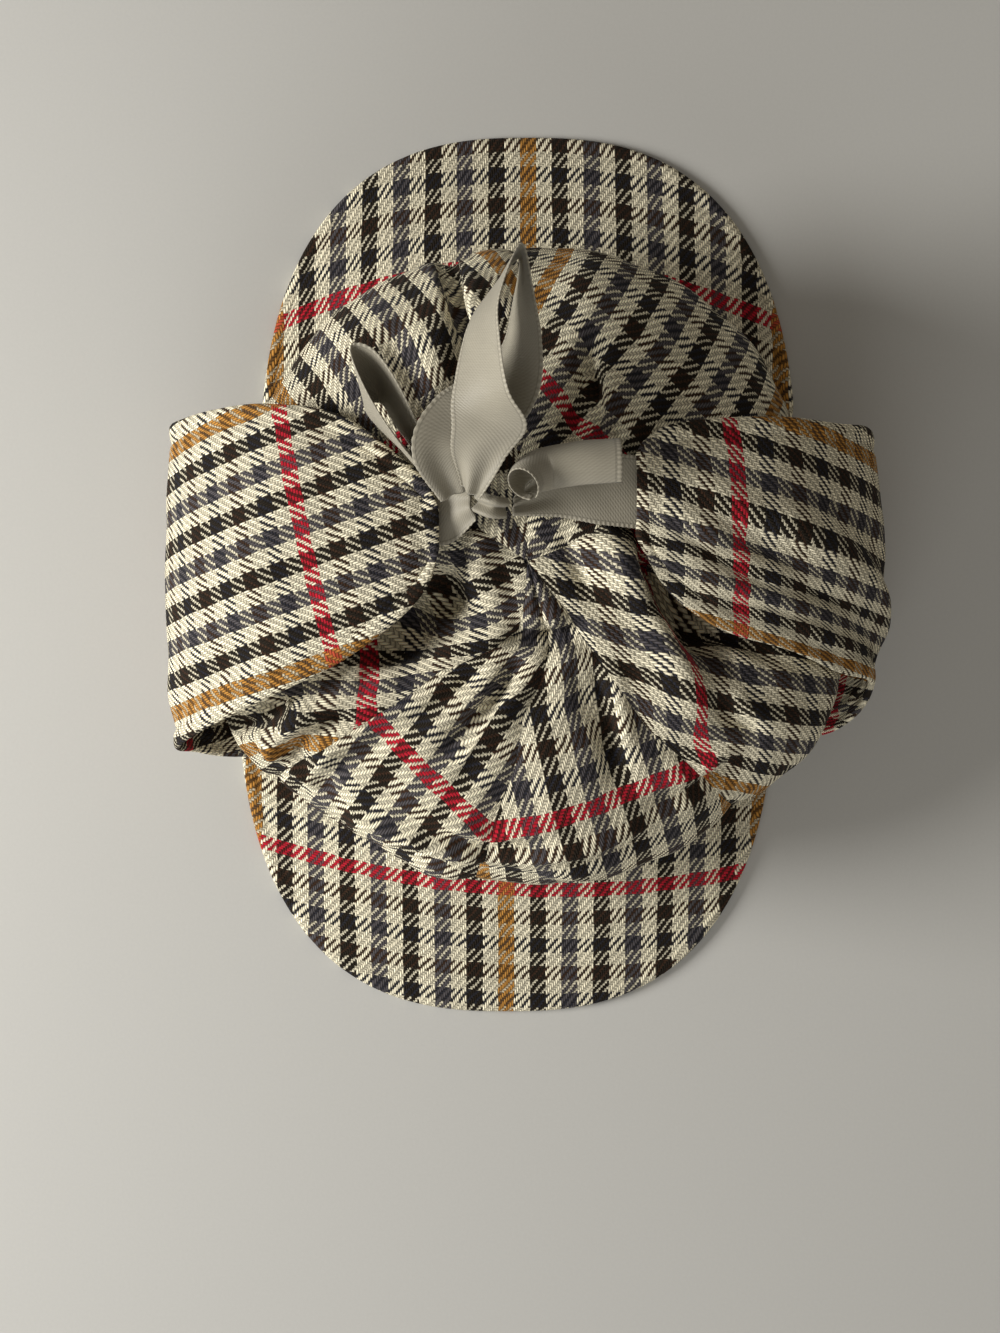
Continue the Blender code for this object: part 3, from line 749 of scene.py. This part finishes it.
def peak_surface(sweep, outward, facing, shift):
    side_start = PEAK_START * HEAD_LENGTH / 2
    inner_half_width = HEAD_WIDTH / 2 + PEAK_SEAT
    inner_half_length = HEAD_LENGTH / 2 + PEAK_SEAT
    first = math.asin(side_start / inner_half_length)
    turn = first + (math.pi - 2 * first) * sweep
    inner_x = inner_half_width * np.cos(turn)
    inner_y = inner_half_length * np.sin(turn)
    cosine = np.cos(math.pi * sweep)
    sine = np.maximum(np.sin(math.pi * sweep), 0.0)
    outer_x = shift + np.sign(cosine) * PEAK_WIDTH / 2 * np.abs(cosine) ** (2 / PEAK_CORNER)
    outer_y = side_start + (HAT_LENGTH / 2 - side_start) * sine ** (2 / PEAK_CORNER)
    rounding = smooth_step(0.0, PEAK_END_SWEEP, np.minimum(sweep, 1.0 - sweep))
    reach = outward * (PEAK_END + (1.0 - PEAK_END) * rounding)
    x = inner_x + (outer_x - inner_x) * reach
    y = (inner_y + (outer_y - inner_y) * reach) * facing
    z = rim_rise(inner_y) * (1.0 - outward) ** 1.2 + PEAK_CLOTH / 2
    return stack(x, y, z)


def make_peak(name, facing, shift, red_place, red_curve, red_slant, stretch, material):
    sweep = edged_shares(PEAK_EDGE_LENGTH, PEAK_CELL, PEAK_EDGE)
    outward = edged_shares(PEAK_REACH, PEAK_CELL, PEAK_EDGE)
    grid_sweep, grid_outward = np.meshgrid(sweep, outward, indexing="ij")
    middle = peak_surface(grid_sweep, grid_outward, facing, shift)
    normals = grid_normals(middle)
    side = 1.0 if normals[len(sweep) // 2, len(outward) // 2, 2] > 0 else -1.0
    x, y = middle[..., 0], middle[..., 1]
    edge = edge_distance(middle)
    waves = swells(x, y, PEAK_SWELLS, PEAK_SWELL_SEED)
    lift = (waves + hem_lines(edge, PEAK_HEM)) * smooth_step(0.0, 6.0, edge) + PEAK_LIFT
    middle[..., 2] += np.maximum(lift, 0.0) * smooth_step(0.0, 3.0, edge)
    normals = grid_normals(middle) * side
    u = x - shift + WARP_STRIPE / 2
    red = red_place + red_curve * (x - shift) ** 2 + red_slant * (x - shift)
    v = (y - red) * stretch + WEFT_STRIPE / 2
    return make_shell(name, middle, normals, PEAK_CLOTH, stack(u, v), material)


# Ear flaps


def flap_surface(rows, folds, side, along, across):
    _, out, up, front, back, bow, droop = blend_rows(rows, along)
    y = (front + (back - front) * across) * FLAP_WIDTH / 2
    curve = 1.0 - np.sqrt(np.maximum(0.0, 1.0 - (2 * y / HEAD_LENGTH) ** 2))
    x = out * (HAT_WIDTH - FLAP_WALL) / 2 - bow * curve * HEAD_WIDTH / 2
    z = up * CROWN_HEIGHT + bow * rim_rise(y) - droop * CROWN_HEIGHT * (2 * across - 1) ** 2
    depth = fold_depth(along, across, folds, 1.0, CROWN_HEIGHT)
    outward = unit(stack(side * (1.0 - along), 0.0 * along, 0.3 + along))
    return stack(side * x, y, z) - outward * depth[..., None]


def make_flap(name, rows, folds, creases, side, laid, seed, material):
    along = edged_shares(FLAP_LENGTH, FLAP_CELL, FLAP_EDGE)
    across = edged_shares(FLAP_WIDTH, FLAP_CELL, FLAP_EDGE)
    grid_along, grid_across = np.meshgrid(along, across, indexing="ij")
    middle = flap_surface(rows, folds, side, grid_along, grid_across)
    normals = grid_normals(middle)
    facing = 1.0 if normals[len(along) * 3 // 4, len(across) // 2, 2] > 0 else -1.0
    normals = normals * facing
    lateral = arc(middle, 1)
    walked = arc(middle, 0)
    edge = edge_distance(middle)
    waves = swells(walked, lateral, FLAP_SWELLS, seed)
    depth = crease_depth(middle, normals, creases)
    push = (waves + hem_lines(edge, FLAP_HEM) - depth) * smooth_step(0.0, 5.0, edge)
    middle = middle + normals * push[..., None]
    normals = grid_normals(middle) * facing
    round_side = arc(middle * np.array([1.0, 0.0, 1.0]), 0)
    unrolled = middle[-1:, :, 0] + side * (round_side[-1:] - round_side)
    warp_slope, tan_place, packed_from, packing, weft_slope, red_place = laid
    u = tan_place - (middle[..., 1] + side * warp_slope * middle[..., 0])
    u = u + packing * np.maximum(u - packed_from, 0.0)
    v = unrolled + weft_slope * middle[..., 1]
    away = np.hypot(middle[..., 0] - red_place[0], middle[..., 1] - red_place[1]) - middle[..., 2]
    v = side * (v - v[np.unravel_index(np.argmin(away), away.shape)])
    weave = stack(side * u + WARP_STRIPE / 2, v + WEFT_STRIPE / 2)
    return make_shell(name, middle, normals, FLAP_CLOTH, weave, material)


# Ribbon


def band_surface(rows, along, across):
    _, x, y, z, turn, tilt, wide = blend_rows(even_rows(rows), along)
    turn = np.radians(turn)
    tilt = np.radians(tilt)
    aim = stack(np.cos(tilt) * np.cos(turn), np.cos(tilt) * np.sin(turn), np.sin(tilt))
    centre = KNOT_PLACE + stack(x, y, z) * BOW_LENGTH
    return centre + aim * ((across - 0.5) * RIBBON_WIDTH * wide)[..., None], wide


def curl_surface(rows, along, across):
    table = even_rows(rows)
    _, x, y, z, curl = blend_rows(table, along)
    centre = KNOT_PLACE + stack(x, y, z) * BOW_LENGTH + np.array([0.0, 0.0, LOOP_RISE])
    ahead = blend_rows(table, np.minimum(along + SMALL_STEP, 1.0))
    behind = blend_rows(table, np.maximum(along - SMALL_STEP, 0.0))
    axis = unit(stack(ahead[1] - behind[1], ahead[2] - behind[2], ahead[3] - behind[3]))
    curl = np.radians(curl)
    closed = np.clip(curl / math.pi - 1.0, 0.0, 1.0)
    point = LOOP_POINT * closed * (np.abs(2.0 * across - 1.0) ** 3 - LOOP_PULL)
    radius = LOOP_WRAP / curl * (1.0 + point)
    angle = math.radians(LOOP_TURN) - (curl - math.pi) / 2 + curl * across
    level = unit(np.cross(np.array([0.0, 0.0, 1.0]), axis))
    upward = np.cross(axis, level)
    ring = (level * np.cos(angle)[..., None] + upward * np.sin(angle)[..., None]) * radius[..., None]
    return centre + ring, np.ones_like(along)


def make_band(name, rows, length, width, pleats, crosswise, material):
    """A stretch of ribbon. crosswise says that it is curled and its selvedges are the ends of the table."""
    surface = curl_surface if crosswise else band_surface
    plain = width if crosswise else length
    even = np.linspace(0.0, 1.0, max(RIBBON_LEAST_CELLS, round(plain / RIBBON_CELL)))
    edged = edged_shares(length if crosswise else width, RIBBON_EDGE_CELL, RIBBON_EDGE)
    along, across = (edged, even) if crosswise else (even, edged)
    grid_along, grid_across = np.meshgrid(along, across, indexing="ij")
    middle, wide = surface(rows, grid_along, grid_across)
    normals = grid_normals(middle)
    walked = arc(middle, 0)[:, len(across) // 2][:, None] + 0 * grid_across
    narrow = np.clip(1.0 - wide, 0, 1)
    pleat = PLEAT_DEPTH * narrow * np.sin(grid_across * 2 * math.pi * pleats + PLEAT_PHASE)
    ripple = RIPPLE_HEIGHT * soft_noise(walked, grid_across * width, RIPPLE_SIZE, len(name))
    middle = middle + normals * (pleat + ripple)[..., None]
    edge_share = grid_along if crosswise else grid_across
    runs = grid_across * width if crosswise else walked
    towards = unit(np.gradient(middle, axis=0 if crosswise else 1))
    side = np.where(edge_share < 0.5, -1.0, 1.0)
    border = np.minimum(edge_share, 1.0 - edge_share) < PICOT_SHARE
    picot = side * PICOT_DEPTH * np.abs(np.sin(runs * math.pi / PICOT_PITCH)) * border
    middle = middle + towards * picot[..., None]
    normals = grid_normals(middle)
    spread = length if crosswise else width
    far_side = RIBBON_WIDTH - (1.0 - edge_share) * spread
    weave = stack(np.where(edge_share < 0.5, edge_share * spread, far_side), runs)
    return make_shell(name, middle, normals, RIBBON_CLOTH, weave, material)


# Materials


def linear(colour):
    shares = np.array(colour) / 255.0
    low = shares / 12.92
    high = ((shares + 0.055) / 1.055) ** 2.4
    return (*np.where(shares <= 0.04045, low, high).tolist(), 1.0)


def add_node(tree, kind, inputs=None, **settings):
    """A shader node with its settings, and each input linked to a socket or set to a value."""
    item = tree.nodes.new(kind)
    for key, value in settings.items():
        setattr(item, key, value)
    for key, value in (inputs or {}).items():
        if isinstance(value, bpy.types.NodeSocket):
            tree.links.new(value, item.inputs[key])
        else:
            item.inputs[key].default_value = value
    return item


def calc(tree, operation, *values):
    return add_node(tree, "ShaderNodeMath", dict(enumerate(values)), operation=operation).outputs[0]


def plus(tree, first, second):
    return calc(tree, "ADD", first, second)


def minus(tree, first, second):
    return calc(tree, "SUBTRACT", first, second)


def times(tree, first, second):
    return calc(tree, "MULTIPLY", first, second)


def scaled(tree, bounds, value):
    """value from 0 to 1 turned into one between two bounds."""
    inputs = {"Value": value, "To Min": bounds[0], "To Max": bounds[1]}
    return add_node(tree, "ShaderNodeMapRange", inputs).outputs["Result"]


def rounded(tree, share):
    """Height of a yarn at a share of its width, flat on top and steep at both sides."""
    away = calc(tree, "ABSOLUTE", minus(tree, times(tree, share, 2.0), 1.0))
    return minus(tree, 1.0, calc(tree, "POWER", calc(tree, "MINIMUM", away, 1.0), YARN_FLATNESS))


def bump(tree, shader, height, strength, distance):
    item = add_node(tree, "ShaderNodeBump", {"Height": height, "Strength": strength, "Distance": distance})
    tree.links.new(item.outputs["Normal"], shader.inputs["Normal"])


def mixed(tree, share, first, second, blend="MIX"):
    inputs = {0: share, 6: first, 7: second}
    return add_node(tree, "ShaderNodeMix", inputs, data_type="RGBA", blend_type=blend).outputs[2]


def dimmed(tree, colour, factor):
    """colour times a number."""
    grey = add_node(tree, "ShaderNodeCombineColor", {0: factor, 1: factor, 2: factor}).outputs[0]
    return mixed(tree, 1.0, colour, grey, "MULTIPLY")


def stripe_ramp(tree, place, stripes):
    """Colour of a row of equal stripes at a place from 0 to 1."""
    item = add_node(tree, "ShaderNodeValToRGB", {"Fac": place})
    ramp = item.color_ramp
    ramp.interpolation = "CONSTANT"
    while len(ramp.elements) < len(stripes):
        ramp.elements.new(1.0)
    for index, letter in enumerate(stripes):
        ramp.elements[index].position = index / len(stripes)
        ramp.elements[index].color = linear(THREAD_COLOURS[letter])
    return item.outputs["Color"]


def new_material(name):
    material = bpy.data.materials.new(name)
    material.use_nodes = True
    return material, material.node_tree, material.node_tree.nodes["Principled BSDF"]


def weave_place(tree):
    """The two coordinates of the weave, in millimetres, and both as a vector."""
    place = add_node(tree, "ShaderNodeUVMap", uv_map="weave").outputs["UV"]
    parts = add_node(tree, "ShaderNodeSeparateXYZ", {"Vector": place})
    return parts.outputs["X"], parts.outputs["Y"], place


def noise(tree, place, scale, stretch=(1.0, 1.0), detail=2.0):
    mapping = add_node(tree, "ShaderNodeMapping", {"Vector": place, "Scale": (*stretch, 1.0)})
    inputs = {"Vector": mapping.outputs["Vector"], "Scale": scale, "Detail": detail}
    return add_node(tree, "ShaderNodeTexNoise", inputs).outputs["Fac"]


def yarns(tree, place, across, pitch, threads, stripes, stretch, grain, evenness):
    """Count, whole number, place in the check, roundness, colour and brightness of a row of yarns."""
    count = calc(tree, "DIVIDE", across, pitch)
    thread = calc(tree, "FLOOR", count)
    middle = calc(tree, "DIVIDE", plus(tree, thread, 0.5), float(threads * len(stripes)))
    share = calc(tree, "FRACT", middle)
    random = add_node(tree, "ShaderNodeTexWhiteNoise", {"W": thread}, noise_dimensions="1D")
    thread_tone = scaled(tree, evenness, random.outputs["Value"])
    tone = times(tree, scaled(tree, grain, noise(tree, place, 1.0, stretch, 3.0)), thread_tone)
    roundness = rounded(tree, calc(tree, "FRACT", count))
    return count, thread, share, roundness, stripe_ramp(tree, share, stripes), tone


def tweed_material(name):
    """2/2 twill tweed in a check of striped warp and weft."""
    material, tree, shader = new_material(name)
    u, v, place = weave_place(tree)
    u = plus(tree, u, scaled(tree, WARP_DRIFT, noise(tree, place, 0.09)))
    v = plus(tree, v, scaled(tree, WEFT_DRIFT, noise(tree, place, 0.11, detail=1.0)))
    _, warp_thread, warp_place, warp_round, warp_colour, warp_tone = yarns(tree, place, u, *WARP)
    weft_count, _, weft_place, weft_round, weft_colour, weft_tone = yarns(tree, place, v, *WEFT)

    # The floats step one thread sideways from one weft thread to the next
    jitter = scaled(tree, FLOAT_JITTER, noise(tree, place, 2.0, (1.0, 0.6), 1.0))
    step = minus(tree, warp_thread, plus(tree, weft_count, jitter))
    phase = calc(tree, "FRACT", calc(tree, "DIVIDE", step, TWILL_THREADS))
    in_red = calc(tree, "LESS_THAN", weft_place, 1.0 / len(WEFT_STRIPES))
    in_tan = calc(tree, "LESS_THAN", warp_place, 1.0 / len(WARP_STRIPES))
    over = calc(tree, "LESS_THAN", phase, scaled(tree, (WARP_FLOAT, RED_FLOAT), in_red))
    red_share = times(tree, in_red, RED_BLEED)
    tan_share = times(tree, in_tan, TAN_BLEED)
    warp_colour = mixed(tree, red_share, warp_colour, linear(THREAD_COLOURS["R"]))
    weft_colour = mixed(tree, tan_share, weft_colour, linear(THREAD_COLOURS["T"]))

    float_round = rounded(tree, calc(tree, "DIVIDE", phase, WARP_FLOAT))
    warp_height = times(tree, warp_round, float_round)
    weft_height = times(tree, weft_round, WEFT_HEIGHT)
    # Painted shade at the sides of each yarn and the ends of each warp float, a painted highlight on the
    # middle of the warp, and the lower weft painted darker
    warp_tone = times(tree, warp_tone, scaled(tree, WARP_PAINTED_SHADE_AND_HIGHLIGHT, warp_height))
    weft_tone = times(tree, weft_tone, scaled(tree, WEFT_PAINTED_SHADE, weft_round))
    weft_tone = times(tree, weft_tone, scaled(tree, RED_WEFT_TONE, in_red))
    colour = mixed(tree, over, dimmed(tree, weft_colour, weft_tone), dimmed(tree, warp_colour, warp_tone))

    fibre = noise(tree, place, 3.2, detail=3.0)
    colour = mixed(tree, scaled(tree, FUZZ_SHARE, fibre), colour, linear(FUZZ_COLOUR))
    patches = scaled(tree, TWEED_PATCH_TONE, noise(tree, place, 0.045))
    colour = dimmed(tree, colour, times(tree, patches, TWEED_LIGHT))
    height = plus(tree, times(tree, over, warp_height), times(tree, minus(tree, 1.0, over), weft_height))
    height = plus(tree, height, times(tree, fibre, FIBRE_HEIGHT))
    bump(tree, shader, height, 0.8, 0.00034)
    tree.links.new(colour, shader.inputs["Base Color"])
    shader.inputs["Roughness"].default_value = 0.92
    shader.inputs["Specular IOR Level"].default_value = 0.06
    shader.inputs["Sheen Weight"].default_value = 0.04
    shader.inputs["Sheen Roughness"].default_value = 0.45
    return material


def ribbon_material():
    """Grosgrain ribbon with a fine twill line across its ribs and a raised edge, with painted shade and
    highlight on its ribs and painted shade in a groove inside its edge.
    """
    material, tree, shader = new_material("grosgrain_ribbon")
    across, along, place = weave_place(tree)
    rib = calc(tree, "SINE", times(tree, along, 2 * math.pi / RIB_PITCH))
    slant = plus(tree, times(tree, across, TWILL_SLANT), along)
    twill = calc(tree, "SINE", times(tree, slant, 2 * math.pi / TWILL_PITCH))
    edge = calc(tree, "ABSOLUTE", minus(tree, across, RIBBON_WIDTH / 2))
    border = calc(tree, "GREATER_THAN", edge, RIBBON_WIDTH / 2 - SELVEDGE)
    groove = calc(tree, "COMPARE", edge, RIBBON_WIDTH / 2 - GROOVE_PLACE, GROOVE_WIDTH)
    knots = calc(tree, "SINE", times(tree, along, 2 * math.pi / PICOT_PITCH))
    texture = plus(tree, times(tree, rib, RIB_SHARE), times(tree, twill, 1.0 - RIB_SHARE))
    texture = times(tree, texture, minus(tree, 1.0, border))
    texture = plus(tree, texture, times(tree, knots, times(tree, border, SELVEDGE_HEIGHT)))
    patches = scaled(tree, RIBBON_PATCH_TONE, noise(tree, place, 0.12))
    streaks = scaled(tree, RIBBON_STREAK_TONE, noise(tree, place, 0.8, (0.15, 2.0)))
    # Painted shade in the hollows of the ribs and twill line and painted highlight on their tops
    tone = plus(tree, times(tree, patches, streaks), times(tree, texture, RIB_PAINTED_SHADE_AND_HIGHLIGHT))
    tone = plus(tree, tone, times(tree, border, SELVEDGE_TONE))
    # Painted shade in the groove inside each edge
    tone = minus(tree, tone, times(tree, groove, GROOVE_PAINTED_SHADE))
    bump(tree, shader, texture, 0.35, 0.0001)
    tree.links.new(dimmed(tree, linear(RIBBON_COLOUR), tone), shader.inputs["Base Color"])
    shader.inputs["Roughness"].default_value = 0.52
    shader.inputs["Specular IOR Level"].default_value = 0.35
    shader.inputs["Sheen Weight"].default_value = 0.15
    return material


def floor_material():
    material, tree, shader = new_material("plain_surface")
    place = add_node(tree, "ShaderNodeTexCoord").outputs["Object"]
    grain = scaled(tree, FLOOR_TONE, noise(tree, place, 900.0))
    tree.links.new(dimmed(tree, linear(FLOOR_COLOUR), grain), shader.inputs["Base Color"])
    shader.inputs["Roughness"].default_value = 0.7
    shader.inputs["Specular IOR Level"].default_value = 0.2
    return material


# Assembly


def build_hat():
    tweed = tweed_material("tweed_check")
    ribbon = ribbon_material()
    made = []
    for number in range(1, 7):
        made.append((make_crown_panel(number, tweed), f"crown_panel_{number}", "tweed"))
    for name, node, *numbers in PEAKS:
        made.append((make_peak(name, *numbers, tweed), node, "tweed"))
    for name, node, *numbers in FLAPS:
        made.append((make_flap(name, *numbers, tweed), node, "tweed"))
    for node, *numbers in BANDS:
        made.append((make_band(f"ribbon_{node}", *numbers, ribbon), node, "ribbon"))
    for piece, node, material_slot in made:
        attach(piece, "root")
        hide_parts(node)


def add_floor():
    mesh = bpy.data.meshes.new("surface")
    corners = [(x * FLOOR_REACH, y * FLOOR_REACH, 0.0) for x, y in ((-1, -1), (1, -1), (1, 1), (-1, 1))]
    mesh.from_pydata(corners, [], [(0, 1, 2, 3)])
    mesh.materials.append(floor_material())
    add_object("surface", mesh)


def add_light(name, place, size, power, colour):
    data = bpy.data.lights.new(name, "AREA")
    data.shape = "DISK"
    data.size = size
    data.energy = power
    data.color = colour
    light = add_object(name, data)
    light.location = place
    light.rotation_euler = (-light.location).to_track_quat("-Z", "Y").to_euler()


def add_camera_and_lights():
    scene = bpy.context.scene
    data = bpy.data.cameras.new("photo_camera")
    data.lens = CAMERA_LENS
    data.sensor_fit = "VERTICAL"
    data.sensor_height = CAMERA_SENSOR
    data.clip_start = 0.01
    scene.camera = add_object("photo_camera", data)
    scene.camera.location = [value * MM for value in CAMERA_PLACE]
    for light in LIGHTS:
        add_light(*light)
    world = bpy.data.worlds.new("soft_room")
    world.use_nodes = True
    background = world.node_tree.nodes["Background"]
    background.inputs["Color"].default_value = ROOM_COLOUR
    background.inputs["Strength"].default_value = ROOM_LIGHT
    scene.world = world
    scene.view_settings.view_transform = "Standard"


build_hat()
add_floor()
add_camera_and_lights()
